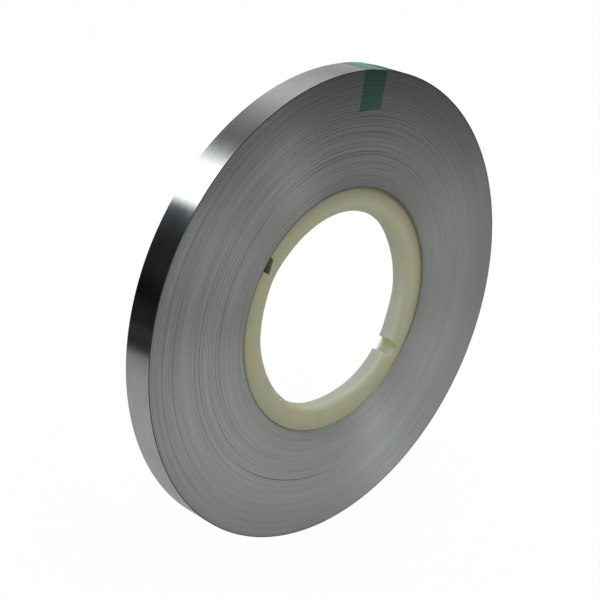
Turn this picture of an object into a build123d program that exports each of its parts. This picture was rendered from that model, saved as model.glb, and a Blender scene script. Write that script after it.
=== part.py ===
from build123d import *

import os
from math import asin, cos, degrees, radians, sin, tan

# A coil of thin nickel strip on a moulded core ring, its outer end held down by a piece of tape.
# Millimetres. The coil stands on its rim, its axis level along Y and its front end towards -Y.

# Strip, and the coil it is wound into
strip_width = 8.0
strip_thickness = 0.15
turn_air = 0.0025  # left between one turn and the next
turn_count = 190
winding_gap = 0.02  # between the core's rim and the first turn
tail_angle = 89.0  # where the outer end of the strip stops, under the tape

# Lines between bands of turns on the coil's ends, counted in turns from the core, and how far
# each band from the core outwards lies back from the ends
turns_to_lines = (54, 59, 92, 101, 165)
band_setbacks = (0.0, 0.05, 0.10, 0.04, 0.06, 0.0)
turn_line_width = 0.3
turn_line_depth = 0.35
blank_margin = 0.5  # what the coil is cut from stands this far proud of its ends

# One slack turn leaves a thin crescent gap low on the front end
slack_turn = 88
slack_opening = 0.35
slack_depth = 1.5
slack_start_angle = -131.0
slack_end_angle = -87.0

# Core ring
bore_radius = 25.4
core_wall = 6.6
core_width = 5.3
core_setback = 0.1  # from the coil's front end to the core's front face
core_rim_round = 0.15
core_bore_round = 1.8
ease_flats = 3

# Keyway in the bore
key_angle = -31.2
key_width = 4.0
key_depth = 4.1
key_floor_round = 1.6
key_mouth_round = 0.4
key_run_out = 1.0

# Pocket in the core's rim for the strip's inner end, almost across from the keyway
pocket_angle = 149.9
pocket_length = 3.7
pocket_deep_end = 2.75
pocket_shallow_end = 1.4
pocket_lean = 13.0  # of the wall at its deep end, outwards
pocket_round = 0.35
pocket_run_out = 1.0

# Tape over the strip's outer end, folded down onto both ends of the coil
tape_angle = tail_angle
tape_width = 7.8
tape_thickness = 0.08
tape_reach = 9.9
tape_gap = 0.02

# How far the coil is turned about its own axis as it stands
standing_turn = -10.4

half_width = strip_width / 2
core_radius = bore_radius + core_wall
coil_bore_radius = core_radius + winding_gap
turn_pitch = strip_thickness + turn_air
coil_radius = coil_bore_radius + turn_count * turn_pitch
slack_radius = coil_bore_radius + slack_turn * turn_pitch
standing_height = coil_radius - strip_thickness * (270 - tail_angle - standing_turn) / 360
core_front = half_width - core_setback
core_back = core_front - core_width


def turned(plane, angle):
    """This plane turned about its own normal."""
    along = plane.x_dir * cos(radians(angle)) + plane.y_dir * sin(radians(angle))
    return Plane(origin=plane.origin, x_dir=along, z_dir=plane.z_dir)


front_view = Plane(origin=(0, 0, standing_height), x_dir=(1, 0, 0), z_dir=(0, -1, 0))
coil_plane = turned(front_view, standing_turn)
coil_axis = Axis(coil_plane.origin, coil_plane.z_dir)


def radial_section(angle):
    """A plane through the axis: radius runs along X at this angle, and the coil's axis along Y."""
    across = turned(coil_plane, angle)
    return Plane(origin=across.origin, x_dir=across.x_dir, z_dir=-across.y_dir)


section_plane = radial_section(0)
key_plane = turned(coil_plane, key_angle)
pocket_plane = turned(coil_plane, pocket_angle)
pocket_lean_out = (pocket_deep_end + pocket_run_out) * tan(radians(pocket_lean))
tape_plane = turned(coil_plane, tape_angle)
tape_half_sweep = 2 * degrees(asin(tape_width / 2 / coil_radius))
tape_section_plane = radial_section(tape_angle - tape_half_sweep)


def on_circle(radius, angle):
    return (radius * cos(radians(angle)), radius * sin(radians(angle)))


def outer_turn_point(angle_back):
    """A point on the outside of the last turn, this far back round it from the strip's outer end."""
    return on_circle(coil_radius - strip_thickness * angle_back / 360, tail_angle + angle_back)


def end_profile(end):
    """Outline of what is missing from one end of a coil blank: end is 1 at the front, -1 at the back."""
    outside = half_width + 2 * blank_margin
    inside_edge = coil_bore_radius - blank_margin
    outside_edge = coil_radius + blank_margin
    points = [(inside_edge, outside), (inside_edge, half_width - band_setbacks[0])]
    for turns, inner, outer in zip(turns_to_lines, band_setbacks, band_setbacks[1:]):
        line = coil_bore_radius + turns * turn_pitch
        points.append((line - turn_line_width / 2, half_width - inner))
        points.append((line, half_width - max(inner, outer) - turn_line_depth))
        points.append((line + turn_line_width / 2, half_width - outer))
    points.append((outside_edge, half_width - band_setbacks[-1]))
    points.append((outside_edge, outside))
    return [(radius, end * height) for radius, height in points]


def eased_corner(radius, height, ease, start):
    """A section corner rounded in short flats, from the angle at which its rounding starts."""
    inward = 1 if start in (90, 180) else -1
    upward = 1 if start in (180, 270) else -1
    middle = (radius + inward * ease, height + upward * ease)
    turns = [start + 90 * step / ease_flats for step in range(ease_flats + 1)]
    return [(middle[0] + ease * cos(radians(turn)), middle[1] + ease * sin(radians(turn))) for turn in turns]


def tape_profile(height):
    """One side of the tape's section, this far above the coil, from its front end to its back end."""
    over_rim = coil_radius + tape_gap + height
    over_end = half_width + tape_gap + height
    under_edge = coil_radius - tape_reach
    return [(under_edge, over_end), (over_rim, over_end), (over_rim, -over_end), (under_edge, -over_end)]


# The coil: its outside is the last turn, which grows by one thickness and ends in a step
with BuildPart() as strip_coil:
    with BuildSketch(coil_plane.offset(-half_width - blank_margin)):
        with BuildLine():
            for angle_back in range(0, 360, 90):
                ThreePointArc(
                    outer_turn_point(angle_back),
                    outer_turn_point(angle_back + 45),
                    outer_turn_point(angle_back + 90),
                )
            Line(outer_turn_point(360), outer_turn_point(0))
        make_face()
        Circle(coil_bore_radius, mode=Mode.SUBTRACT)
    extrude(amount=strip_width + 2 * blank_margin)
    for end in (1, -1):
        with BuildSketch(section_plane):
            with BuildLine():
                Polyline(*end_profile(end), close=True)
            make_face()
        revolve(axis=coil_axis, mode=Mode.SUBTRACT)
    with BuildSketch(coil_plane.offset(half_width)):
        with BuildLine():
            slack_middle_angle = (slack_start_angle + slack_end_angle) / 2
            slack_start = on_circle(slack_radius, slack_start_angle)
            slack_end = on_circle(slack_radius, slack_end_angle)
            ThreePointArc(slack_start, on_circle(slack_radius, slack_middle_angle), slack_end)
            inner_middle = on_circle(slack_radius - slack_opening, slack_middle_angle)
            ThreePointArc(slack_end, inner_middle, slack_start)
        make_face()
    extrude(amount=-slack_depth, mode=Mode.SUBTRACT)
strip_coil.part.label = "strip_coil"

# The core ring: a turned section with a keyway in its bore and a pocket in its rim
with BuildPart() as core_ring:
    with BuildSketch(section_plane):
        with BuildLine():
            Polyline(
                *eased_corner(bore_radius, core_back, core_bore_round, 180),
                *eased_corner(core_radius, core_back, core_rim_round, 270),
                *eased_corner(core_radius, core_front, core_rim_round, 0),
                *eased_corner(bore_radius, core_front, core_bore_round, 90),
                close=True,
            )
        make_face()
    revolve(axis=coil_axis)

    with BuildSketch(key_plane) as keyway:
        with Locations((bore_radius + (key_depth - key_run_out) / 2, 0)):
            Rectangle(key_depth + key_run_out, key_width)
        fillet(keyway.vertices().sort_by(Axis.X)[-2:], key_floor_round)
        Circle(bore_radius)
        mouth = keyway.vertices().filter_by(lambda corner: abs(abs(corner.Y) - key_width / 2) < 0.01)
        fillet(mouth.sort_by(Axis.X)[:2], key_mouth_round)
    extrude(amount=core_width, both=True, mode=Mode.SUBTRACT)

    with BuildSketch(pocket_plane) as pocket:
        with BuildLine():
            Polyline(
                (core_radius + pocket_run_out, pocket_length / 2 + pocket_lean_out),
                (core_radius - pocket_deep_end, pocket_length / 2),
                (core_radius - pocket_shallow_end, -pocket_length / 2),
                (core_radius + pocket_run_out, -pocket_length / 2),
                close=True,
            )
        make_face()
        fillet(pocket.vertices().sort_by(Axis.X)[:2], pocket_round)
    extrude(amount=core_width, both=True, mode=Mode.SUBTRACT)
core_ring.part.label = "core_ring"

# The tape: one strip folded over the rim, its ends pressed down onto both ends of the coil
with BuildPart() as end_tape:
    with BuildSketch(tape_section_plane) as tape_section:
        with BuildLine():
            Polyline(*tape_profile(tape_thickness), *reversed(tape_profile(0)), close=True)
        make_face()
        fillet(tape_section.vertices().group_by(Axis.X)[-1], tape_thickness)
    revolve(axis=coil_axis, revolution_arc=2 * tape_half_sweep)
    with BuildSketch(tape_plane.offset(-strip_width)):
        with Locations((coil_radius, 0)):
            Rectangle(2 * coil_radius, tape_width)
    extrude(amount=2 * strip_width, mode=Mode.INTERSECT)
end_tape.part.label = "end_tape"

os.makedirs("parts", exist_ok=True)
export_step(strip_coil.part, "parts/strip_coil.step")
export_step(core_ring.part, "parts/core_ring.step")
export_step(end_tape.part, "parts/end_tape.step")
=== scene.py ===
import math
import random

import bpy
import numpy as np
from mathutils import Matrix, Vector


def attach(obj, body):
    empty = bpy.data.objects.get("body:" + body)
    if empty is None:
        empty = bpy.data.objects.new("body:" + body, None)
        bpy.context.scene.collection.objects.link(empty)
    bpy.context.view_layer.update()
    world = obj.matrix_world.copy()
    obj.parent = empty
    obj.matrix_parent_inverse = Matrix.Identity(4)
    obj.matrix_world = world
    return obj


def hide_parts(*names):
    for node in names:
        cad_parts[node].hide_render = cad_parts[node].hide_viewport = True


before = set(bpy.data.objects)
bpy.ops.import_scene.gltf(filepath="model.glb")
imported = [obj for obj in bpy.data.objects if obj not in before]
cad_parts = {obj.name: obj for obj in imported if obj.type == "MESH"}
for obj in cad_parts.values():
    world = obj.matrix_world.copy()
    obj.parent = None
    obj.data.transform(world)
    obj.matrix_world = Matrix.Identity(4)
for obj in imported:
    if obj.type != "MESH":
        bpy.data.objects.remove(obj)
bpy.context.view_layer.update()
print("frame loaded:", len(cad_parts), "solids")

mm = 0.001
sameSpot = 0.002 * mm  # vertices nearer to each other than this are merged
coilAxis = Vector((0, 0, 60.915 * mm))  # the coil stands on its rim, its axis level along Y


# camera, as the photograph was taken: front left, looking down a little
view = {
    "place": (-0.2354, -0.2282, 0.2226),
    "towards": (0.6322, 0.6388, -0.4384),
    "lens": 87.36,
    "sensor": 36,
    "nearest": 0.01,
}

cameraData = bpy.data.cameras.new("camera")
cameraData.lens = view["lens"]
cameraData.sensor_width = view["sensor"]
cameraData.clip_start = view["nearest"]
camera = bpy.data.objects.new("camera", cameraData)
bpy.context.scene.collection.objects.link(camera)
camera.location = view["place"]
camera.rotation_euler = (-Vector(view["towards"])).to_track_quat("Z", "Y").to_euler()
bpy.context.scene.camera = camera
bpy.context.scene.view_settings.view_transform = "Standard"
print("camera set")


def clearSelection():
    bpy.ops.object.select_all(action="DESELECT")


def makeActive(piece):
    clearSelection()
    piece.select_set(True)
    bpy.context.view_layer.objects.active = piece


def ringPoint(radius, y, angle):
    return Vector((radius * math.cos(angle), y, coilAxis.z + radius * math.sin(angle)))


def spinProfile(name, profile, steps, startAngle, sweep):
    # a plane drawn in to one point, extruded along the section point by point, then spun
    clearSelection()
    bpy.ops.mesh.primitive_plane_add(size=mm, location=(0, 0, 0))
    piece = bpy.context.object
    piece.name = name
    piece.data.name = name
    points = [ringPoint(radius, y, startAngle) for radius, y in profile]
    bpy.ops.object.mode_set(mode="EDIT")
    bpy.ops.mesh.select_all(action="SELECT")
    bpy.ops.mesh.merge(type="CENTER")
    bpy.ops.transform.translate(value=points[0])
    for here, there in zip(points, points[1:]):
        bpy.ops.mesh.extrude_vertices_move(TRANSFORM_OT_translate={"value": there - here})
    bpy.ops.mesh.select_all(action="SELECT")
    bpy.ops.mesh.spin(steps=steps, angle=sweep, center=coilAxis, axis=(0, 1, 0))
    bpy.ops.mesh.select_all(action="SELECT")
    bpy.ops.mesh.remove_doubles(threshold=sameSpot)
    bpy.ops.mesh.normals_make_consistent(inside=False)
    bpy.ops.object.mode_set(mode="OBJECT")
    return piece


def roundedCorner(radius, y, size, fromAngle, steps):
    # points round a section corner, whose centre is at (radius, y)
    turns = [math.radians(fromAngle + 90 * step / steps) for step in range(steps + 1)]
    return [(radius + size * math.cos(turn), y + size * math.sin(turn)) for turn in turns]


def polarOf(piece):
    # every vertex as radius, y and angle about the coil's axis
    places = np.zeros(len(piece.data.vertices) * 3)
    piece.data.vertices.foreach_get("co", places)
    places = places.reshape(-1, 3)
    across, up = places[:, 0], places[:, 2] - coilAxis.z
    return np.hypot(across, up), places[:, 1], np.arctan2(up, across)


def placeVertices(piece, across, ys, up):
    places = np.stack([across, ys, coilAxis.z + up], 1)
    piece.data.vertices.foreach_set("co", places.ravel())
    piece.data.update()


def placePolar(piece, radii, ys, angles):
    placeVertices(piece, radii * np.cos(angles), ys, radii * np.sin(angles))


def angleFrom(angles, centre):
    # signed distance in degrees from a bearing
    return (np.degrees(angles) - centre + 180) % 360 - 180


def nearness(angles, bearing):
    # 1 at this bearing, falling to 0 across the coil from it
    return 0.5 + 0.5 * np.cos(np.radians(angleFrom(angles, bearing)))


def smoothByAngle(piece, degrees):
    makeActive(piece)
    bpy.ops.object.shade_smooth_by_angle(angle=math.radians(degrees))


# the coil of nickel strip
coil = {
    "boreRadius": 32.02 * mm,
    "outerRadius": 60.989 * mm,
    "halfWidth": 4.0 * mm,
    "thickness": 0.15 * mm,
    "tailAngle": 78.6,  # where the outer end stops, under the tape
    "tailStep": 0.15,  # degrees over which the outer end rises
    "steps": 288,
    "smoothAngle": 20,
    "edgeRound": 0.04 * mm,
    "fill": 0.6 * mm,  # rings between the lines, so that the ends can wander a little
    "fillDip": 0.03 * mm,
    # from each radius outwards the ends lie this far back
    "bands": (
        (32.0, 0.0),
        (40.26, 0.02),
        (41.02, 0.04),
        (46.05, 0.02),
        (47.42, 0.03),
        (57.18, 0.015),
    ),
    # dark lines between turns, grooved and darkened with painted shade by their depth: radius, width,
    # depth in mm, bearing where most open, least share
    "frontLines": (
        (33.25, 0.10, 0.03, -100, 0.2),
        (34.46, 0.10, 0.04, -90, 0.2),
        (36.05, 0.10, 0.03, -130, 0.2),
        (36.96, 0.10, 0.03, -70, 0.2),
        (38.20, 0.10, 0.10, 100, 0.1),
        (38.86, 0.12, 0.05, -150, 0.2),
        (39.83, 0.12, 0.14, 160, 0.1),
        (40.26, 0.16, 0.20, 115, 0.1),
        (41.02, 0.16, 0.20, 130, 0.1),
        (42.20, 0.12, 0.12, 120, 0.1),
        (43.25, 0.12, 0.14, 155, 0.1),
        (46.05, 0.16, 0.20, 125, 0.1),
        (47.42, 0.16, 0.22, 140, 0.1),
        (48.25, 0.12, 0.14, 120, 0.1),
        (49.04, 0.12, 0.14, 105, 0.1),
        (49.83, 0.12, 0.14, 100, 0.1),
        (50.50, 0.12, 0.12, 100, 0.1),
        (51.36, 0.12, 0.12, 105, 0.1),
        (52.02, 0.10, 0.10, 130, 0.1),
        (52.95, 0.10, 0.10, 110, 0.1),
        (54.05, 0.12, 0.12, 155, 0.1),
        (55.30, 0.12, 0.06, 0, 0.1),
        (57.18, 0.16, 0.18, 145, 0.05),
        (58.60, 0.10, 0.06, 150, 0.0),
        (59.40, 0.10, 0.08, 120, 0.0),
    ),
    "backLines": (
        (34.10, 0.10, 0.10, 40, 0.3),
        (36.40, 0.12, 0.10, -20, 0.2),
        (38.00, 0.10, 0.12, 150, 0.3),
        (40.26, 0.16, 0.20, 60, 0.4),
        (41.02, 0.16, 0.20, 20, 0.4),
        (43.60, 0.12, 0.12, -60, 0.2),
        (46.05, 0.16, 0.20, 10, 0.4),
        (47.42, 0.16, 0.20, 50, 0.4),
        (49.30, 0.12, 0.14, 120, 0.2),
        (51.20, 0.12, 0.12, -120, 0.2),
        (53.40, 0.10, 0.12, -170, 0.2),
        (55.10, 0.12, 0.12, 80, 0.2),
        (57.18, 0.16, 0.20, 100, 0.4),
        (59.00, 0.10, 0.10, -30, 0.2),
    ),
    # a line's depth comes and goes: by what share, how often round the coil, and shifted by the metre
    "lineWaver": (0.15, 3, 5000),
    "lineBlack": 0.38 * mm,  # depth at which a line's painted shade is as dark as the crease shade colour
    # one slack turn low on the front end
    "slackRadius": 45.44 * mm,
    "slackOpening": 0.17 * mm,
    "slackClosed": 0.04 * mm,
    "slackDepth": 0.2 * mm,
    "slackLeast": 0.06,  # share of that depth where the turn lies close
    "slackMiddle": -119.4,
    "slackSpread": 22.0,
    "slackShade": (0.05, 0.3),  # painted shade in the slack turn's gap: where the turn lies close, and more where it opens
    # painted shade on the slack turn's outer edge
    "slackEdgeShade": 0.1,
    "lastTurnGap": 0.10 * mm,
    "lastTurnDepth": 0.08 * mm,
    # painted shade in the gap before the last turn
    "lastTurnShade": 0.3,
    "lastTurnFrom": 0.987,  # share of the winding's height at which it begins
    "darkEdge": 0.36 * mm,  # of the outermost turns, over which painted shade runs out to the rim
    "darkBearing": 160.0,
    "rimEdgeShade": (0.35, 0.5),  # painted shade on the rim's edge: across from that bearing, and more towards it
    "lipDepth": 0.6 * mm,  # how far in the bore's edge carries painted shade
    "lipFade": 2.5,  # times that depth, where the painted shade is gone
    "lipShade": 0.3,
    # the turns wander in and out: mm, waves round the coil, start, and shift by the metre
    "wander": ((0.10, 2, 1.1, 160), (0.07, 3, 0.4, -240), (0.05, 5, 2.3, 420)),
    "compared": 20000,  # vertices at a time, to spare memory
    # the strip's flat sides: how near the rim and the bore they lie, and how far along the axis
    "flatOutside": 0.3 * mm,
    "flatInside": 0.01 * mm,
    "flatHalfWidth": 3.85 * mm,
}


def bandLevel(radius):
    level = 0.0
    for start, back in coil["bands"]:
        if radius / mm >= start:
            level = back * mm
    return level


def endSection(side, lines, dice):
    # one end of the coil from the bore outwards: radius, y, kind, line
    bore, rim = coil["boreRadius"], coil["outerRadius"]
    lip, dark, ease = coil["lipDepth"], coil["darkEdge"], coil["edgeRound"]
    rings = [
        (bore, coil["lipFade"] * lip, "bore", None),
        (bore, lip, "boreLip", None),
        (bore, 0.0, "boreLip", None),
    ]
    goals = []
    for radius, width, depth, bearing, least in lines:
        goals.append(("line", (radius * mm, width * mm, depth * mm, bearing, least)))
    if side < 0:  # the slack turn shows on the front end only
        slack = (coil["slackRadius"], coil["slackOpening"], coil["slackDepth"], 0, 0)
        goals.append(("slack", slack))
    lastLine = rim - 2 * dark - coil["lastTurnGap"] / 2
    goals.append(("turn", (lastLine, coil["lastTurnGap"], coil["lastTurnDepth"], 0, 1)))
    goals.sort(key=lambda goal: goal[1][0])
    here = bore
    for kind, line in goals:
        radius, width, depth = line[:3]
        inner = radius - (width if kind == "slack" else width / 2)
        outer = radius if kind == "slack" else radius + width / 2
        # plain rings up to the line
        gap = inner - here
        count = int(gap / coil["fill"])
        for step in range(1, count + 1):
            place = here + gap * step / (count + 1)
            rings.append((place, bandLevel(place) + dice.uniform(0, coil["fillDip"]), "fill", None))
        below, above = bandLevel(inner), bandLevel(outer)
        if kind == "slack":
            rings.append((inner, below, "slackInner", None))
            rings.append((inner, below + depth, "slackInnerFloor", None))
            rings.append((outer, above + depth, "slackFloor", None))
            rings.append((outer, above, "slackOuter", None))
        else:
            rings.append((inner, below, "edge", None))
            rings.append((radius, max(below, above) + depth, "floor", line))
            rings.append((outer, above, "edge", None))
        here = outer
    rings.append((rim - dark, 0.0, "edge", None))
    rings.append((rim - 0.6 * dark, 0.0, "rimEdge", None))
    rings.append((rim - ease, 0.0, "rimEdge", None))
    rings.append((rim - 0.3 * ease, 0.3 * ease, "rimEdge", None))
    rings.append((rim, ease, "rim", None))
    return [
        (radius, side * (coil["halfWidth"] - back), kind, line)
        for radius, back, kind, line in rings
    ]


def nearestRing(profile, radii, ys):
    # which point of the section every vertex came from
    section = np.array(profile)
    ringOf = np.zeros(len(radii), int)
    for start in range(0, len(radii), coil["compared"]):
        part = slice(start, start + coil["compared"])
        across = radii[part, None] - section[:, 0]
        along = ys[part, None] - section[:, 1]
        ringOf[part] = (across**2 + along**2).argmin(1)
    return ringOf


def openLines(rings, ringOf, radii, ys, angles):
    # the lines open and close round the coil, and the painted crease shade says how dark each place
    # is
    paintedCreaseShade = np.zeros(len(radii), np.float32)
    for number, (radius, y, kind, line) in enumerate(rings):
        mine = ringOf == number
        side = -1 if y < 0 else 1
        if kind == "floor":
            depth, bearing, least = line[2:]
            part, waves, shift = coil["lineWaver"]
            waver = 1 - part + part * np.sin(waves * angles[mine] + radius * shift)
            share = (least + (1 - least) * nearness(angles[mine], bearing) ** 3) * waver
            ys[mine] += side * depth * (1 - share)
            paintedCreaseShade[mine] = np.clip(share * depth / coil["lineBlack"], 0, 1)
            if least == 1:
                paintedCreaseShade[mine] = coil["lastTurnShade"]
        elif kind.startswith("slack"):
            off = np.abs(angleFrom(angles[mine], coil["slackMiddle"])) / coil["slackSpread"]
            slack = 1 - np.clip(off, 0, 1) ** 2
            opened = np.minimum(1, slack * 4)
            if kind.startswith("slackInner"):
                wider = (coil["slackOpening"] - coil["slackClosed"]) * slack
                radii[mine] = coil["slackRadius"] - (coil["slackClosed"] + wider)
            if kind.endswith("Floor"):
                least = coil["slackLeast"]
                deep = coil["slackDepth"] * (least + (1 - least) * opened)
                ys[mine] = side * (coil["halfWidth"] - deep - bandLevel(radius))
                paintedCreaseShade[mine] = coil["slackShade"][0] + coil["slackShade"][1] * opened
            elif kind == "slackOuter":
                paintedCreaseShade[mine] = coil["slackEdgeShade"]
        # painted shade on the bore's edge next to the core
        elif kind == "boreLip":
            paintedCreaseShade[mine] = coil["lipShade"]
        # painted shade along the rim's edge, strongest towards one bearing
        elif kind == "rimEdge":
            least, more = coil["rimEdgeShade"]
            paintedCreaseShade[mine] = least + more * nearness(angles[mine], coil["darkBearing"])
    return paintedCreaseShade


def buildCoil():
    dice = random.Random(11)
    front = endSection(-1, coil["frontLines"], dice)
    back = endSection(1, coil["backLines"], dice)
    rings = front + back[::-1]
    profile = [(radius, y) for radius, y, kind, line in rings]
    tail = coil["tailAngle"]
    piece = spinProfile(
        "coiledStrip", profile + profile[:1], coil["steps"], math.radians(tail), math.tau
    )
    radii, ys, angles = polarOf(piece)
    paintedCreaseShade = openLines(rings, nearestRing(profile, radii, ys), radii, ys, angles)
    # the turns wander a little in and out, most in the middle of the winding
    inward = (radii - coil["boreRadius"]) / (coil["outerRadius"] - coil["boreRadius"])
    room = np.clip(4 * inward * (1 - inward), 0, 1)
    wander = sum(
        size * np.sin(waves * angles + start + shift * radii)
        for size, waves, start, shift in coil["wander"]
    )
    radii += room * wander * mm
    # the last turn grows by one thickness round the coil and ends in a step under the tape
    fromTail = angleFrom(angles, tail)
    turnBack = np.where(np.abs(fromTail) < 0.01, 360, (np.degrees(angles) - tail) % 360)
    thinner = coil["thickness"] * turnBack / 360
    radii = np.where(inward > coil["lastTurnFrom"], radii - thinner, radii)
    nextColumn = np.abs(fromTail - 360 / coil["steps"]) < 0.1
    angles = np.where(nextColumn, math.radians(tail + coil["tailStep"]), angles)
    placePolar(piece, radii, ys, angles)
    marks = piece.data.attributes.new("paintedCreaseShade", "FLOAT", "POINT")
    marks.data.foreach_set("value", paintedCreaseShade)
    smoothByAngle(piece, coil["smoothAngle"])
    return piece


coiledStrip = buildCoil()
print("coil wound:", len(coiledStrip.data.polygons), "faces")


# the core ring
core = {
    "boreRadius": 25.4 * mm,
    "outerRadius": 32.0 * mm,
    "front": -3.9 * mm,
    "back": 1.4 * mm,
    "boreRound": 1.8 * mm,
    "rimRound": 0.15 * mm,
    # the bore isn't quite round: bearing, and how far outwards it lies there in mm
    "boreError": (
        (-180, 0.23),
        (-166, -0.10),
        (-154, -0.15),
        (-136, 0.11),
        (-130, 0.29),
        (-112, 0.43),
        (-106, 0.41),
        (-100, 0.26),
        (-82, 0.28),
        (-70, 0.66),
        (-58, 0.77),
        (-52, 0.72),
        (-40, 0.41),
        (-34, 0.33),
        (-28, -0.05),
        (-22, -0.21),
        (-10, -0.14),
        (-4, -0.20),
        (2, -0.44),
        (20, -0.60),
        (26, -0.53),
        (44, -0.01),
        (68, 0.02),
        (74, 0.17),
        (86, 0.30),
        (116, 0.46),
        (128, 0.61),
        (140, 0.98),
        (146, 0.93),
        (158, 0.48),
        (170, 0.29),
        (180, 0.23),
    ),
    "roundSteps": 7,
    "steps": 288,
    "smoothAngle": 30,
    "keyAngle": -41.6,
    "keyWidth": 4.0 * mm,
    "keyFloor": 29.5 * mm,
    "keyFloorRound": 1.6 * mm,
    "keyRunOut": 2.0 * mm,  # of its cutter, into the bore
    "pocketAngle": 139.5,
    "pocketLength": 3.7 * mm,
    "pocketDeep": 2.75 * mm,
    "pocketShallow": 1.4 * mm,
    "pocketLean": 0.15 * mm,
    "pocketRound": 0.35 * mm,
    "pocketRunOut": 1.0 * mm,  # of its cutter, past the rim
    "cutterLength": 16.0 * mm,
    "cutterSegments": 5,
    "cutEdge": 0.15 * mm,  # how far the sharp edges of the two cuts are broken
    "cutEdgeSegments": 3,
    "cutEdgeAngle": 40,
}


def cutterFrom(name, corners, roundedEnd, roundSize, angle):
    # a flat outline in the ring's plane, two corners rounded, then drawn out along the axis
    turn = math.radians(angle)
    outwards = Vector((math.cos(turn), 0, math.sin(turn)))
    sideways = Vector((-math.sin(turn), 0, math.cos(turn)))
    clearSelection()
    bpy.ops.mesh.primitive_plane_add(size=2 * mm, location=(0, 0, 0))
    cutter = bpy.context.object
    cutter.name = name
    start = Vector((0, -core["cutterLength"] / 2, 0))
    # a plane's vertices don't run round it in order
    order = (corners[0], corners[1], corners[3], corners[2])
    for vertex, (out, side) in zip(cutter.data.vertices, order):
        vertex.co = coilAxis + outwards * out + sideways * side + start
    bpy.ops.object.mode_set(mode="EDIT")
    bpy.ops.mesh.select_all(action="DESELECT")
    bpy.ops.object.mode_set(mode="OBJECT")
    byReach = sorted(cutter.data.vertices, key=lambda v: (v.co - coilAxis).dot(outwards))
    for vertex in byReach[-2:] if roundedEnd == "outer" else byReach[:2]:
        vertex.select = True
    bpy.ops.object.mode_set(mode="EDIT")
    bpy.ops.mesh.select_mode(type="VERT")
    bpy.ops.mesh.bevel(offset=roundSize, segments=core["cutterSegments"], affect="VERTICES")
    bpy.ops.mesh.select_all(action="SELECT")
    bpy.ops.mesh.extrude_region_move(TRANSFORM_OT_translate={"value": (0, core["cutterLength"], 0)})
    bpy.ops.mesh.select_all(action="SELECT")
    bpy.ops.mesh.normals_make_consistent(inside=False)
    bpy.ops.object.mode_set(mode="OBJECT")
    return cutter


def cutWith(piece, cutter):
    makeActive(piece)
    cut = piece.modifiers.new("cut", "BOOLEAN")
    cut.operation = "DIFFERENCE"
    cut.solver = "EXACT"
    cut.object = cutter
    bpy.ops.object.modifier_apply(modifier=cut.name)
    bpy.data.objects.remove(cutter)


def buildCore():
    steps = core["roundSteps"]
    inner, outer = core["boreRadius"], core["outerRadius"]
    front, back = core["front"], core["back"]
    easeBore, easeRim = core["boreRound"], core["rimRound"]
    profile = (
        roundedCorner(inner + easeBore, front + easeBore, easeBore, 180, steps)
        + roundedCorner(outer - easeRim, front + easeRim, easeRim, 270, steps)
        + roundedCorner(outer - easeRim, back - easeRim, easeRim, 0, steps)
        + roundedCorner(inner + easeBore, back - easeBore, easeBore, 90, steps)
    )
    piece = spinProfile("mouldedCore", profile + profile[:1], core["steps"], 0, math.tau)
    radii, ys, angles = polarOf(piece)
    bearings, errors = zip(*core["boreError"])
    error = np.interp(np.degrees(angles), bearings, errors) * mm
    radii += error * np.clip((outer - radii) / (outer - inner), 0, 1)
    placePolar(piece, radii, ys, angles)
    half = core["keyWidth"] / 2
    mouth, floor = inner - core["keyRunOut"], core["keyFloor"]
    corners = ((mouth, -half), (floor, -half), (floor, half), (mouth, half))
    cutter = cutterFrom("keyCutter", corners, "outer", core["keyFloorRound"], core["keyAngle"])
    cutWith(piece, cutter)
    half = core["pocketLength"] / 2
    mouth = outer + core["pocketRunOut"]
    corners = (
        (mouth, -half),
        (outer - core["pocketShallow"], -half),
        (outer - core["pocketDeep"], half),
        (mouth, half + core["pocketLean"]),
    )
    cutter = cutterFrom("pocketCutter", corners, "inner", core["pocketRound"], core["pocketAngle"])
    cutWith(piece, cutter)
    # break the sharp edges that the two cuts leave
    makeActive(piece)
    ease = piece.modifiers.new("ease", "BEVEL")
    ease.width = core["cutEdge"]
    ease.segments = core["cutEdgeSegments"]
    ease.limit_method = "ANGLE"
    ease.angle_limit = math.radians(core["cutEdgeAngle"])
    ease.use_clamp_overlap = True
    bpy.ops.object.modifier_apply(modifier=ease.name)
    smoothByAngle(piece, core["smoothAngle"])
    return piece


mouldedCore = buildCore()
print("core moulded:", len(mouldedCore.data.polygons), "faces")


# the tape over the strip's outer end
tape = {
    "angle": 78.6,
    "width": 7.8 * mm,
    "foot": 7.4 * mm,
    "thickness": 0.08 * mm,
    "reach": 9.9 * mm,
    "gap": 0.02 * mm,
    "foldRound": 0.1 * mm,
    "foldTurns": (0, 22.5, 45, 67.5, 90),
    "steps": 16,
    "endSteps": 18,
    "rimSteps": 12,
    "rimShare": 0.02,  # of its reach down the ends, within which it still follows the rim
    "lean": 0.25 * mm,  # sideways at its foot on the front
    "slant": 0.18 * mm,  # its cut end on the front isn't quite square
    "smoothAngle": 50,
}


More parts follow.
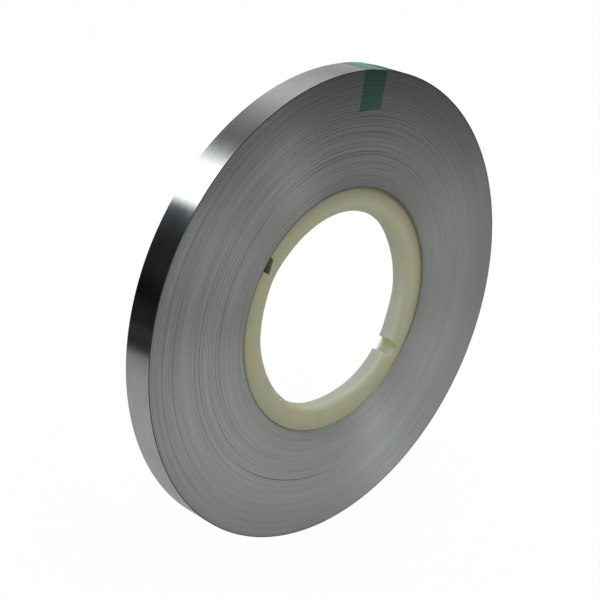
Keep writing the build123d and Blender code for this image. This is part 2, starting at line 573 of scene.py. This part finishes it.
def buildTape():
    rise = tape["gap"] + tape["thickness"] / 2
    top = coil["outerRadius"] + rise
    side = coil["halfWidth"] + rise
    foot = coil["outerRadius"] - tape["reach"]
    fold = tape["foldRound"]
    endSteps, rimSteps = tape["endSteps"], tape["rimSteps"]
    onEnd = [(foot + (top - fold - foot) * step / endSteps, -side) for step in range(endSteps)]
    for turn in tape["foldTurns"]:
        bend = math.radians(turn)
        onEnd.append((top - fold + fold * math.sin(bend), -side + fold * (1 - math.cos(bend))))
    flat = 2 * (side - fold)
    onRim = [(top, -side + fold + flat * step / rimSteps) for step in range(1, rimSteps)]
    profile = onEnd + onRim + [(radius, -y) for radius, y in reversed(onEnd)]
    sweep = 2 * math.asin(tape["width"] / 2 / top)
    start = math.radians(tape["angle"]) - sweep / 2
    piece = spinProfile("endTape", profile, tape["steps"], start, sweep)
    radii, ys, angles = polarOf(piece)
    onFront = ys < 0
    across = np.radians(angleFrom(angles, tape["angle"])) / (sweep / 2)  # -1 to 1 over the width
    down = np.clip((top - radii) / (top - foot), 0, 1)
    width = tape["width"] + (tape["foot"] - tape["width"]) * down
    sideways = across * width / 2 + tape["lean"] * down * onFront
    followed = np.sqrt(radii**2 - sideways**2)
    straight = radii - sideways**2 / (2 * top)
    outwards = np.where(down < tape["rimShare"], followed, straight)
    outwards = outwards - tape["slant"] * across * down**3 * onFront
    turn = math.radians(tape["angle"])
    placeVertices(
        piece,
        outwards * math.cos(turn) - sideways * math.sin(turn),
        ys,
        outwards * math.sin(turn) + sideways * math.cos(turn),
    )
    makeActive(piece)
    wall = piece.modifiers.new("wall", "SOLIDIFY")
    wall.thickness = tape["thickness"]
    wall.offset = 0
    bpy.ops.object.modifier_apply(modifier=wall.name)
    smoothByAngle(piece, tape["smoothAngle"])
    return piece


endTape = buildTape()
endTape.visible_glossy = False  # the metal under it is tinted once, on the way to the eye
print("tape folded:", len(endTape.data.polygons), "faces")


# materials
def newMaterial(name):
    material = bpy.data.materials.new(name)
    material.use_nodes = True
    tree = material.node_tree
    return material, tree, tree.nodes["Principled BSDF"]


def showShader(tree, shader):
    tree.links.new(shader, tree.nodes["Material Output"].inputs["Surface"])


def feed(tree, value, socket):
    # a socket is linked, and a number, place or colour is set
    if isinstance(value, bpy.types.NodeSocket):
        tree.links.new(value, socket)
    elif socket.type == "RGBA":
        socket.default_value = (*value, 1)
    else:
        socket.default_value = value


def mathNode(tree, operation, first, second=None, third=None):
    node = tree.nodes.new("ShaderNodeMath")
    node.operation = operation
    for value, socket in zip((first, second, third), node.inputs):
        if value is not None:
            feed(tree, value, socket)
    return node.outputs[0]


def product(tree, first, *others):
    for other in others:
        first = mathNode(tree, "MULTIPLY", first, other)
    return first


def weigh(tree, *parts):
    # values added up, each times its share
    total = 0
    for value, share in parts:
        total = mathNode(tree, "MULTIPLY_ADD", value, share, total)
    return total


def vectorNode(tree, operation, first, second=None):
    node = tree.nodes.new("ShaderNodeVectorMath")
    node.operation = operation
    feed(tree, first, node.inputs[0])
    if second is not None:
        feed(tree, second, node.inputs[1])
    return node.outputs["Value" if operation in ("LENGTH", "DOT_PRODUCT") else "Vector"]


def rampNode(tree, value, stops, smooth=False):
    node = tree.nodes.new("ShaderNodeValToRGB")
    node.color_ramp.interpolation = "EASE" if smooth else "LINEAR"
    elements = node.color_ramp.elements
    while len(elements) < len(stops):
        elements.new(0.5)
    for element, (place, colour) in zip(elements, stops):
        element.position = place
        element.color = (*colour, 1)
    tree.links.new(value, node.inputs["Fac"])
    return node.outputs["Color"]


def mixColour(tree, kind, factor, first, second):
    node = tree.nodes.new("ShaderNodeMix")
    node.data_type = "RGBA"
    node.blend_type = kind
    feed(tree, factor, node.inputs["Factor"])
    feed(tree, first, node.inputs["A"])
    feed(tree, second, node.inputs["B"])
    return node.outputs["Result"]


def mixShaders(tree, factor, first, second):
    node = tree.nodes.new("ShaderNodeMixShader")
    for value, socket in zip((factor, first, second), node.inputs):
        tree.links.new(value, socket)
    return node.outputs[0]


def noiseNode(tree, vector, detail, roughness=0.5):
    node = tree.nodes.new("ShaderNodeTexNoise")
    node.inputs["Scale"].default_value = 1
    node.inputs["Detail"].default_value = detail
    node.inputs["Roughness"].default_value = roughness
    tree.links.new(vector, node.inputs["Vector"])
    return node.outputs["Fac"]


def rangeNode(tree, value, fromLow, fromHigh, toLow, toHigh):
    node = tree.nodes.new("ShaderNodeMapRange")
    tree.links.new(value, node.inputs["Value"])
    node.inputs["From Min"].default_value = fromLow
    node.inputs["From Max"].default_value = fromHigh
    node.inputs["To Min"].default_value = toLow
    node.inputs["To Max"].default_value = toHigh
    return node.outputs["Result"]


def bumpNode(tree, height, strength, distance):
    node = tree.nodes.new("ShaderNodeBump")
    node.inputs["Strength"].default_value = strength
    node.inputs["Distance"].default_value = distance
    tree.links.new(height, node.inputs["Height"])
    return node.outputs["Normal"]


def partOf(tree, vector, axis):
    split = tree.nodes.new("ShaderNodeSeparateXYZ")
    tree.links.new(vector, split.inputs[0])
    return split.outputs[axis]


def coordinates(tree, kind="Object"):
    return tree.nodes.new("ShaderNodeTexCoord").outputs[kind]


def placeNoise(tree, scale, detail):
    # noise of one size in all directions
    place = vectorNode(tree, "MULTIPLY", coordinates(tree), (scale, scale, scale))
    return noiseNode(tree, place, detail)


def aboutAxis(tree):
    # distance from the coil's axis, the direction outwards, and the place along the axis
    centred = vectorNode(tree, "SUBTRACT", coordinates(tree), coilAxis)
    flat = vectorNode(tree, "MULTIPLY", centred, (1, 0, 1))
    outwards = vectorNode(tree, "NORMALIZE", flat)
    return vectorNode(tree, "LENGTH", flat), outwards, partOf(tree, centred, "Y")


def towards(tree, outwards, direction, span):
    # how far a place round the coil lies towards a direction
    return rangeNode(tree, vectorNode(tree, "DOT_PRODUCT", outwards, direction), *span)


def turnNoise(tree, outwards, across, pattern):
    # noise that changes fast across the turns and slowly around them
    around, rate, shift, detail, roughness = pattern
    ring = vectorNode(tree, "SCALE", outwards)
    ring.node.inputs["Scale"].default_value = around
    line = tree.nodes.new("ShaderNodeCombineXYZ")
    tree.links.new(mathNode(tree, "MULTIPLY_ADD", across, rate, shift), line.inputs["Y"])
    return noiseNode(tree, vectorNode(tree, "ADD", ring, line.outputs[0]), detail, roughness)


# a span says from where to where a value runs, and from what to what it then goes; radii in metres
stripLook = {
    # noises: rate around and across the turns, shift, detail, roughness
    "broad": (1.2, 240, 0, 2, 0.5),
    "middle": (1.1, 1500, 7, 2, 0.5),
    "fine": (1.8, 5200, 31, 2, 0.6),
    "seams": (0.7, 900, 3, 0, 0.5),
    "hairs": (1.0, 2300, 13, 0, 0.5),
    "fade": (1.4, 160, 21, 2, 0.5),
    "drift": (0.8, 320, 41, 2, 0.5),
    "rimGrain": (6, 7000, 0, 3, 0.5),
    "rimCloud": (9, 260, 0, 2, 0.5),
    "broadShare": 0.22,
    "middleShare": 0.36,
    "fineShare": 0.42,
    "endTones": ((0.34, (0.300, 0.318, 0.301)), (0.64, (0.440, 0.462, 0.440))),
    "creaseShadeColour": (0.050, 0.040, 0.024),
    "seamWidth": 0.05,
    "seamFade": (0.38, 0.62, 0, 1),
    "seamShare": 0.17,
    "hairWidth": 0.08,
    "hairShare": 0.20,
    "lineShade": (0.62, 0.61, 0.58),
    "middleTone": 0.49,
    "middleRadius": 0.044,
    "middleSpan": (0.006, 0.0115, 1, 0),
    "middleBright": (1.12, 1.12, 1.12),
    # painted shade on the turns round the tape
    "paintedShadeTowards": (0.182, 0, 0.983),
    "paintedShadeSpan": (0.5, 1, 0, 1),
    "paintedShadeRadius": (0.042, 0.060, 0.22, 1),
    "paintedShadeColour": (0.42, 0.43, 0.42),
    "livelyTowards": (-0.766, 0, 0.643),
    "livelySpan": (0.3, 0.95, 0.36, 1),
    "fanTowards": (0.5, 0, -0.866),
    "fanSpan": (0.88, 0.98, 0.3, 0.7),
    "ripple": 7200,  # radians to a metre, one ripple to five or six turns
    "rippleDrift": 24,
    "rippleTone": 0.052,
    "rippledTowards": (-0.335, 0, 0.942),
    "rippledSpan": (-0.3, 0.7, 0.2, 1),
    "endRough": (0.3, 0.7, 0.53, 0.47),
    "endStretch": 0.9,
    "fineHeight": 0.3,
    "middleHeight": 0.5,
    "shadeHeight": -0.4,
    "rippleHeight": 0.12,
    "endBump": (0.16, 0.00006),
    "rimTones": ((0.25, (0.500, 0.525, 0.500)), (0.75, (0.570, 0.597, 0.570))),
    "rimRough": (0.3, 0.7, 0.10, 0.14),
    "rimBump": (0.05, 0.00001),
    "boreSpan": (0.033, 0.050, 1, 0),
    "boreHighlightWhite": (0.92, 0.92, 0.91),
    "boreRough": 0.55,
}


def thinLines(tree, outwards, radius, pattern, width):
    # contour lines of a smooth noise: thin lines that wander a little and never cross
    waves = turnNoise(tree, outwards, radius, pattern)
    away = mathNode(tree, "ABSOLUTE", mathNode(tree, "SUBTRACT", waves, 0.5))
    return rangeNode(tree, away, 0, width, 1, 0)


def withCreaseShade(tree, colour):
    # painted shade: darker where the coil's mesh has its lines, gaps and edges
    paintedCreaseShade = tree.nodes.new("ShaderNodeAttribute")
    paintedCreaseShade.attribute_name = "paintedCreaseShade"
    return mixColour(tree, "MIX", paintedCreaseShade.outputs["Fac"], colour, stripLook["creaseShadeColour"])


def endsMaterial():
    look = stripLook
    material, tree, shader = newMaterial("nickelCutEdges")
    radius, outwards, along = aboutAxis(tree)
    broad = turnNoise(tree, outwards, radius, look["broad"])
    middle = turnNoise(tree, outwards, radius, look["middle"])
    fine = turnNoise(tree, outwards, radius, look["fine"])
    seams = thinLines(tree, outwards, radius, look["seams"], look["seamWidth"])
    hairs = thinLines(tree, outwards, radius, look["hairs"], look["hairWidth"])
    fade = turnNoise(tree, outwards, radius, look["fade"])
    seams = product(tree, seams, rangeNode(tree, fade, *look["seamFade"]))
    # the lines show most on the upper left and in the fan of light low on the right
    lively = towards(tree, outwards, look["livelyTowards"], look["livelySpan"])
    inFan = towards(tree, outwards, look["fanTowards"], look["fanSpan"])
    lively = mathNode(tree, "MAXIMUM", lively, inFan)
    # the ripple shows most from the upper left to the tape
    drift = turnNoise(tree, outwards, radius, look["drift"])
    waves = weigh(tree, (radius, look["ripple"]), (drift, look["rippleDrift"]))
    rippled = towards(tree, outwards, look["rippledTowards"], look["rippledSpan"])
    ripples = product(tree, mathNode(tree, "SINE", waves), rippled)
    parts = (middle, look["middleShare"]), (broad, look["broadShare"]), (fine, look["fineShare"])
    tone = mathNode(tree, "SUBTRACT", weigh(tree, *parts), look["middleTone"])
    tone = mathNode(tree, "MULTIPLY_ADD", tone, lively, look["middleTone"])
    tone = mathNode(tree, "MULTIPLY_ADD", ripples, look["rippleTone"], tone)
    colour = rampNode(tree, tone, look["endTones"])
    shade = weigh(tree, (seams, look["seamShare"]), (hairs, look["hairShare"]))
    shade = product(tree, shade, lively)
    colour = mixColour(tree, "MULTIPLY", shade, colour, look["lineShade"])
    # the middle of the winding is a little brighter
    offMiddle = mathNode(tree, "SUBTRACT", radius, look["middleRadius"])
    bright = rangeNode(tree, mathNode(tree, "ABSOLUTE", offMiddle), *look["middleSpan"])
    colour = mixColour(tree, "MULTIPLY", bright, colour, look["middleBright"])
    # painted shade: the turns round the tape are darker, most at the outside
    nearTape = towards(tree, outwards, look["paintedShadeTowards"], look["paintedShadeSpan"])
    paintedShade = product(tree, nearTape, rangeNode(tree, radius, *look["paintedShadeRadius"]))
    colour = mixColour(tree, "MULTIPLY", paintedShade, colour, look["paintedShadeColour"])
    tree.links.new(withCreaseShade(tree, colour), shader.inputs["Base Color"])
    shader.inputs["Metallic"].default_value = 1
    tree.links.new(rangeNode(tree, fine, *look["endRough"]), shader.inputs["Roughness"])
    shader.inputs["Anisotropic"].default_value = look["endStretch"]
    tree.links.new(outwards, shader.inputs["Tangent"])
    height = weigh(tree, (fine, look["fineHeight"]), (middle, look["middleHeight"]))
    height = product(tree, height, lively)
    height = mathNode(tree, "MULTIPLY_ADD", shade, look["shadeHeight"], height)
    height = mathNode(tree, "MULTIPLY_ADD", ripples, look["rippleHeight"], height)
    tree.links.new(bumpNode(tree, height, *look["endBump"]), shader.inputs["Normal"])
    return material


def rimMaterial():
    look = stripLook
    material, tree, shader = newMaterial("nickelRolledFlat")
    radius, outwards, along = aboutAxis(tree)
    grain = turnNoise(tree, outwards, along, look["rimGrain"])
    cloud = turnNoise(tree, outwards, along, look["rimCloud"])
    # the painted crease shade falls on the rim's edge and the bore's edge too
    colour = withCreaseShade(tree, rampNode(tree, cloud, look["rimTones"]))
    # bright outside; pale and dull in the bore, where the near-white colour is a painted highlight
    inBore = rangeNode(tree, radius, *look["boreSpan"])
    colour = mixColour(tree, "MIX", inBore, colour, look["boreHighlightWhite"])
    tree.links.new(colour, shader.inputs["Base Color"])
    shader.inputs["Metallic"].default_value = 1
    dull = product(tree, inBore, look["boreRough"])
    rough = mathNode(tree, "ADD", rangeNode(tree, cloud, *look["rimRough"]), dull)
    tree.links.new(rough, shader.inputs["Roughness"])
    tree.links.new(bumpNode(tree, grain, *look["rimBump"]), shader.inputs["Normal"])
    return material


nylonLook = {
    # noises: scale and detail
    "cloud": (110, 3),
    "grain": (2600, 2),
    "dust": (650, 1),
    "tones": ((0.42, (0.332, 0.340, 0.235)), (0.66, (0.354, 0.347, 0.214))),  # green to yellow
    "pale": (0.405, 0.437, 0.345),
    "paleFacing": (0.45, 0.99, 1, 0),
    "paleLitSpan": (0, 0.7, 0.2, 1),
    "paleRadius": (0.0288, 0.0291, 1, 0),
    # colour of the painted highlight line round the bore's front edge
    "line": (0.62, 0.68, 0.58),
    "litTowards": (0.469, 0, -0.883),
    "highlightFacing": 0.35,
    "highlightWidth": (0.03, 0.09, 1, 0),
    "highlightSpan": (0.90, 1.0, 0, 0.3),
    "keyTowards": (0.748, 0, -0.664),
    "keySpan": (0.97, 0.985, 0, 1),
    "keyRadius": (0.0262, 0.0268, 0, 1),
    "keyAlong": (-0.0037, -0.0029, 0.1, 1),
    # painted light on the keyway's floor
    "keyway": (0.52, 0.55, 0.42),
    "keyShade": (0.44, 0.46, 0.20),
    "keyAcross": (0.664, 0, 0.748),
    "keyShadeSpan": (-0.0004, 0.0015, 0, 1),
    "cutFacing": (0.1, 0.4, 1, 0),
    # painted shade inside the pocket
    "pocket": (0.20, 0.18, 0.09),
    "pocketRadius": (0.0290, 0.0292, 0, 1),
    # painted shade towards the strip, most at the upper right
    "paintedShadeTowards": (0.766, 0, 0.643),
    "paintedShadeSpan": (-0.1, 1, 0.35, 1),
    "paintedShadeRadius": (0.0280, 0.0320, 0, 1),
    "paintedShadeDeeper": (0.0270, 0.0315, 0.4, 1),
    "paintedShadeColour": (0.46, 0.45, 0.44),
    # painted shade in the seam with the strip
    "coreEdgeShade": (0.085, 0.068, 0.024),
    "coreEdgeShadeTowards": (0.985, 0, 0.17),
    "coreEdgeShadeSpan": (0.3, 0.75, 0, 1),
    "coreEdgeShadeRadius": (0.0308, 0.0315, 0, 0.85),
    "coreEdgeShadeRim": (0.03165, 0.03185, 0, 0.8),
    "speck": (0.09, 0.08, 0.05),
    "speckSpan": (0.80, 0.84, 0, 0.5),
    "rough": (0.3, 0.7, 0.52, 0.64),
    "shine": 0.35,
    "bump": (0.12, 0.00003),
    # light that goes into the nylon and comes out again
    "throughShare": 0.45,
    "throughColour": (1.0, 0.95, 0.6),
    "throughDepth": 0.0018,
}


def coreMaterial():
    look = nylonLook
    material, tree, shader = newMaterial("naturalNylon")
    radius, outwards, along = aboutAxis(tree)
    cloud = placeNoise(tree, *look["cloud"])
    grain = placeNoise(tree, *look["grain"])
    dust = placeNoise(tree, *look["dust"])
    colour = rampNode(tree, cloud, look["tones"], True)
    # the bore keeps the paler colour of clean nylon, with painted light that makes it paler still low
    # on the right, and a painted highlight line runs round its front edge there
    facing = mathNode(tree, "ABSOLUTE", partOf(tree, coordinates(tree, "Normal"), "Y"))
    inside = product(
        tree,
        rangeNode(tree, facing, *look["paleFacing"]),
        towards(tree, outwards, look["litTowards"], look["paleLitSpan"]),
        rangeNode(tree, radius, *look["paleRadius"]),
    )
    colour = mixColour(tree, "MIX", inside, colour, look["pale"])
    offLine = mathNode(tree, "SUBTRACT", facing, look["highlightFacing"])
    paintedHighlight = product(
        tree,
        rangeNode(tree, mathNode(tree, "ABSOLUTE", offLine), *look["highlightWidth"]),
        towards(tree, outwards, look["litTowards"], look["highlightSpan"]),
        mathNode(tree, "LESS_THAN", along, 0),
    )
    colour = mixColour(tree, "MIX", paintedHighlight, colour, look["line"])
    # painted light and shade on the keyway's floor: pale painted light below, olive painted shade
    # under its upper side
    nearKey = towards(tree, outwards, look["keyTowards"], look["keySpan"])
    inCut = rangeNode(tree, facing, *look["cutFacing"])
    acrossKey = product(tree, vectorNode(tree, "DOT_PRODUCT", outwards, look["keyAcross"]), radius)
    shaded = rangeNode(tree, acrossKey, *look["keyShadeSpan"])
    keyLitAndShaded = mixColour(tree, "MIX", shaded, look["keyway"], look["keyShade"])
    inKey = product(
        tree,
        nearKey,
        inCut,
        rangeNode(tree, radius, *look["keyRadius"]),
        rangeNode(tree, along, *look["keyAlong"]),
    )
    colour = mixColour(tree, "MIX", inKey, colour, keyLitAndShaded)
    # painted shade darkens the pocket inside
    pocketShade = product(
        tree,
        inCut,
        rangeNode(tree, radius, *look["pocketRadius"]),
        mathNode(tree, "SUBTRACT", 1, nearKey),
    )
    colour = mixColour(tree, "MIX", pocketShade, colour, look["pocket"])
    # painted shade: it darkens towards the strip, most at the upper right, and painted shade darkens
    # the seam at its very edge
    paintedShade = product(
        tree,
        towards(tree, outwards, look["paintedShadeTowards"], look["paintedShadeSpan"]),
        rangeNode(tree, radius, *look["paintedShadeRadius"]),
        rangeNode(tree, radius, *look["paintedShadeDeeper"]),
    )
    colour = mixColour(tree, "MULTIPLY", paintedShade, colour, look["paintedShadeColour"])
    # painted shade in the seam between the core and the strip
    coreEdgeShade = product(
        tree,
        rangeNode(tree, radius, *look["coreEdgeShadeRadius"]),
        towards(tree, outwards, look["coreEdgeShadeTowards"], look["coreEdgeShadeSpan"]),
    )
    coreEdgeShade = mathNode(tree, "MAXIMUM", coreEdgeShade, rangeNode(tree, radius, *look["coreEdgeShadeRim"]))
    colour = mixColour(tree, "MIX", coreEdgeShade, colour, look["coreEdgeShade"])
    specks = rangeNode(tree, dust, *look["speckSpan"])
    colour = mixColour(tree, "MIX", specks, colour, look["speck"])
    tree.links.new(colour, shader.inputs["Base Color"])
    tree.links.new(rangeNode(tree, grain, *look["rough"]), shader.inputs["Roughness"])
    shader.inputs["Specular IOR Level"].default_value = look["shine"]
    shader.inputs["Subsurface Weight"].default_value = look["throughShare"]
    shader.inputs["Subsurface Radius"].default_value = look["throughColour"]
    shader.inputs["Subsurface Scale"].default_value = look["throughDepth"]
    tree.links.new(bumpNode(tree, grain, *look["bump"]), shader.inputs["Normal"])
    return material


filmLook = {
    "cloud": (700, 2),
    "tones": ((0.3, (0.020, 0.100, 0.070)), (0.7, (0.035, 0.140, 0.100))),
    "rough": (0.3, 0.7, 0.26, 0.36),
    "bump": (0.1, 0.00002),
    "endsFrom": (0.0038, 0.0040, 0, 1),
    "clearOnRim": (0.72, 0.90, 0.855),
    "clearOnEnds": (0.62, 0.83, 0.78),
    "coverOnRim": 0.05,
    "coverOnEnds": 0.02,
}


def tapeMaterial():
    look = filmLook
    material, tree, shader = newMaterial("greenFilm")
    cloud = placeNoise(tree, *look["cloud"])
    tree.links.new(rampNode(tree, cloud, look["tones"]), shader.inputs["Base Color"])
    tree.links.new(rangeNode(tree, cloud, *look["rough"]), shader.inputs["Roughness"])
    tree.links.new(bumpNode(tree, cloud, *look["bump"]), shader.inputs["Normal"])
    # pressed onto the cut turns it looks darker than on the rim
    fromMiddle = mathNode(tree, "ABSOLUTE", partOf(tree, coordinates(tree), "Y"))
    onEnds = rangeNode(tree, fromMiddle, *look["endsFrom"])
    clear = tree.nodes.new("ShaderNodeBsdfTransparent")
    tint = mixColour(tree, "MIX", onEnds, look["clearOnRim"], look["clearOnEnds"])
    tree.links.new(tint, clear.inputs["Color"])
    cover = rangeNode(tree, onEnds, 0, 1, look["coverOnRim"], look["coverOnEnds"])
    showShader(tree, mixShaders(tree, cover, clear.outputs[0], shader.outputs[0]))
    return material


def dress(piece, slotName, *looks):
    piece.data.materials.clear()
    for look in looks:
        piece.data.materials.append(look)


def assignFlats(piece):
    # the strip's flat sides, on the rim and in the bore, get the second material
    makeActive(piece)
    bpy.ops.object.mode_set(mode="EDIT")
    bpy.ops.mesh.select_all(action="DESELECT")
    bpy.ops.object.mode_set(mode="OBJECT")
    for face in piece.data.polygons:
        spot = Vector(face.center) - coilAxis
        reach = math.hypot(spot.x, spot.z)
        onRim = reach > coil["outerRadius"] - coil["flatOutside"]
        inBore = reach < coil["boreRadius"] + coil["flatInside"]
        face.select = (onRim or inBore) and abs(spot.y) < coil["flatHalfWidth"]
    piece.active_material_index = 1
    bpy.ops.object.mode_set(mode="EDIT")
    bpy.ops.object.material_slot_assign()
    bpy.ops.object.mode_set(mode="OBJECT")


dress(coiledStrip, "nickel_strip", endsMaterial(), rimMaterial())
assignFlats(coiledStrip)
dress(mouldedCore, "core_nylon", coreMaterial())
dress(endTape, "green_tape", tapeMaterial())
print("materials on")

for piece, node in ((coiledStrip, "strip_coil"), (mouldedCore, "core_ring"), (endTape, "end_tape")):
    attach(piece, "root")
    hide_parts(node)


# floor, world, lamps and cards
studio = {
    "floorSize": 6.0,
    "floorGrey": (0.82, 0.82, 0.82, 1),
    "floorRough": 0.9,
    "fill": 0.88,
    "white": 0.97,
    # what the metal sees of the floor, by distance in metres towards the front, a little to the right
    "seenTowards": (0.4, -0.9, 0),
    "floorSeen": (
        (-0.60, 0.045),
        (-0.42, 0.045),
        (-0.32, 0.03),
        (-0.265, 0.05),
        (-0.228, 0.30),
        (-0.163, 0.43),
        (-0.086, 0.50),
        (-0.056, 0.46),
        (-0.039, 0.39),
        (-0.028, 0.36),
        (-0.012, 0.38),
        (0.004, 0.64),
        (0.022, 0.80),
        (0.05, 0.77),
        (0.09, 0.71),
        (0.13, 0.66),
        (0.19, 0.41),
        (0.24, 0.22),
        (0.40, 0.12),
    ),
    # what the rim sees behind the coil, by bearing in degrees from the right round over the top
    "behindSeen": (
        (-10, 0.50),
        (12, 0.51),
        (24, 0.43),
        (30, 0.47),
        (42, 0.60),
        (58, 0.70),
        (66, 0.60),
        (72, 0.47),
        (84, 0.27),
        (92, 0.19),
        (98, 0.28),
        (102, 0.66),
        (107, 1.5),
        (110, 2.3),
        (127, 2.3),
        (129, 1.0),
        (131.5, 0.14),
        (138, 0.06),
        (146, 0.025),
        (160, 0.022),
        (172, 0.006),
        (180, 0.022),
        (190, 0.016),
    ),
    "brightest": 2.3,
    "blueBelow": 0.16,  # greys darker than this lean to blue
    "blueTint": (0.93, 1.0, 1.12),
    "screenProfile": ((0.5, 0.12), (0.5, 0.9)),
    "screenSteps": 60,
}


def stagePlane(name, size, place, facing):
    clearSelection()
    bpy.ops.mesh.primitive_plane_add(size=1, location=(0, 0, 0))
    plane = bpy.context.object
    plane.name = name
    for vertex in plane.data.vertices:
        vertex.co.x *= size[0]
        vertex.co.y *= size[1]
    plane.location = place
    if facing:
        plane.rotation_euler = Vector(facing).to_track_quat("Z", "Y").to_euler()
    return plane


def glowShader(tree, colour, strength):
    glow = tree.nodes.new("ShaderNodeEmission")
    feed(tree, colour, glow.inputs["Color"])
    glow.inputs["Strength"].default_value = strength
    return glow.outputs[0]


def seenBy(tree, *rays):
    # 1 for rays of these kinds, else 0
    lightPath = tree.nodes.new("ShaderNodeLightPath")
    seen = lightPath.outputs[rays[0]]
    for ray in rays[1:]:
        seen = mathNode(tree, "MAXIMUM", seen, lightPath.outputs[ray])
    return seen


def greyRamp(tree, value, pairs, top):
    # greys by place, as shares of the brightest
    low, high = pairs[0][0], pairs[-1][0]
    stops = []
    for place, grey in pairs:
        tint = studio["blueTint"] if grey < studio["blueBelow"] else (1, 1, 1)
        stops.append(((place - low) / (high - low), tuple(grey / top * part for part in tint)))
    return rampNode(tree, rangeNode(tree, value, low, high, 0, 1), stops)


def paleFloor():
    floor = stagePlane("floor", (studio["floorSize"], studio["floorSize"]), (0, 0, 0), None)
    material, tree, shader = newMaterial("paleFloor")
    shader.inputs["Base Color"].default_value = studio["floorGrey"]
    shader.inputs["Roughness"].default_value = studio["floorRough"]
    toEye = product(tree, seenBy(tree, "Is Camera Ray"), studio["white"])
    both = mixShaders(tree, toEye, shader.outputs[0], glowShader(tree, (1, 1, 1), 1))
    # metal and film see the pale floor too, fading away from the coil
    reach = vectorNode(tree, "DOT_PRODUCT", coordinates(tree), studio["seenTowards"])
    tone = greyRamp(tree, reach, studio["floorSeen"], 1)
    mirrored = seenBy(tree, "Is Glossy Ray", "Is Transmission Ray")
    showShader(tree, mixShaders(tree, mirrored, both, glowShader(tree, tone, 1)))
    floor.data.materials.append(material)


def skyShader(tree, strength):
    sky = tree.nodes.new("ShaderNodeBackground")
    sky.inputs["Color"].default_value = (1, 1, 1, 1)
    sky.inputs["Strength"].default_value = strength
    return sky.outputs[0]


def whiteWorld():
    world = bpy.data.worlds.new("studio")
    bpy.context.scene.world = world
    world.use_nodes = True
    tree = world.node_tree
    tree.nodes.clear()
    seen = seenBy(tree, "Is Camera Ray", "Is Glossy Ray", "Is Transmission Ray")
    sky = mixShaders(tree, seen, skyShader(tree, studio["fill"]), skyShader(tree, 1))
    tree.links.new(sky, tree.nodes.new("ShaderNodeOutputWorld").inputs["Surface"])


lamps = {
    "keyFront": {
        "direction": (0.23, -0.68, 0.69),
        "distance": 0.6,
        "size": (0.10, 0.10),
        "power": 0.0045,
        "spread": 20,
        "target": (0.026, 0, 0.016),
    },
    "overhead": {
        "direction": (0.10, -0.15, 0.98),
        "distance": 0.9,
        "size": (0.5, 0.5),
        "power": 1.6,
        "spread": 180,
        "target": coilAxis,
    },
}


def softbox(name):
    lamp = lamps[name]
    data = bpy.data.lights.new(name, "AREA")
    data.shape = "RECTANGLE"
    data.size, data.size_y = lamp["size"]
    data.energy = lamp["power"]
    data.spread = math.radians(lamp["spread"])
    box = bpy.data.objects.new(name, data)
    bpy.context.scene.collection.objects.link(box)
    box.location = coilAxis + Vector(lamp["direction"]).normalized() * lamp["distance"]
    box.rotation_euler = (box.location - Vector(lamp["target"])).to_track_quat("Z", "Y").to_euler()
    box.visible_camera = False


cards = {
    # standing front right, mirrored in the coil's end
    "frontCard": {
        "size": (2.0, 1.0),
        "place": (0.42, -0.42, 0.52),
        "facing": (-1, 1, 0),
        "colour": (0.50, 0.50, 0.50),
    },
    # low behind on the right, mirrored where the rim turns away
    "sideCard": {
        "size": (0.57, 0.085),
        "place": (0.22, 0.315, 0.0425),
        "facing": (-1, 0, 0),
        "colour": (0.05, 0.048, 0.045),
    },
}


def onlyMirrored(card):
    card.visible_camera = False
    card.visible_diffuse = False
    card.visible_shadow = False
    card.visible_transmission = False


def greyCard(name):
    look = cards[name]
    card = stagePlane(name, look["size"], look["place"], look["facing"])
    material, tree, shader = newMaterial(name)
    showShader(tree, glowShader(tree, look["colour"], 1))
    card.data.materials.append(material)
    onlyMirrored(card)


def behindScreen():
    # a bent screen behind the coil, round its axis, mirrored in the rim
    stops = studio["behindSeen"]
    start, sweep = math.radians(stops[0][0]), math.radians(stops[-1][0] - stops[0][0])
    screen = spinProfile(
        "behindScreen", studio["screenProfile"], studio["screenSteps"], start, sweep
    )
    material, tree, shader = newMaterial("behindScreen")
    radius, outwards, along = aboutAxis(tree)
    angle = mathNode(tree, "ARCTAN2", partOf(tree, outwards, "Z"), partOf(tree, outwards, "X"))
    # counted from straight down, so that the bearing never jumps on the screen
    bearing = mathNode(tree, "WRAP", product(tree, angle, math.degrees(1)), 270, -90)
    tone = greyRamp(tree, bearing, stops, studio["brightest"])
    showShader(tree, glowShader(tree, tone, studio["brightest"]))
    screen.data.materials.append(material)
    onlyMirrored(screen)


paleFloor()
whiteWorld()
softbox("keyFront")
softbox("overhead")
greyCard("frontCard")
behindScreen()
greyCard("sideCard")
print("studio lit")
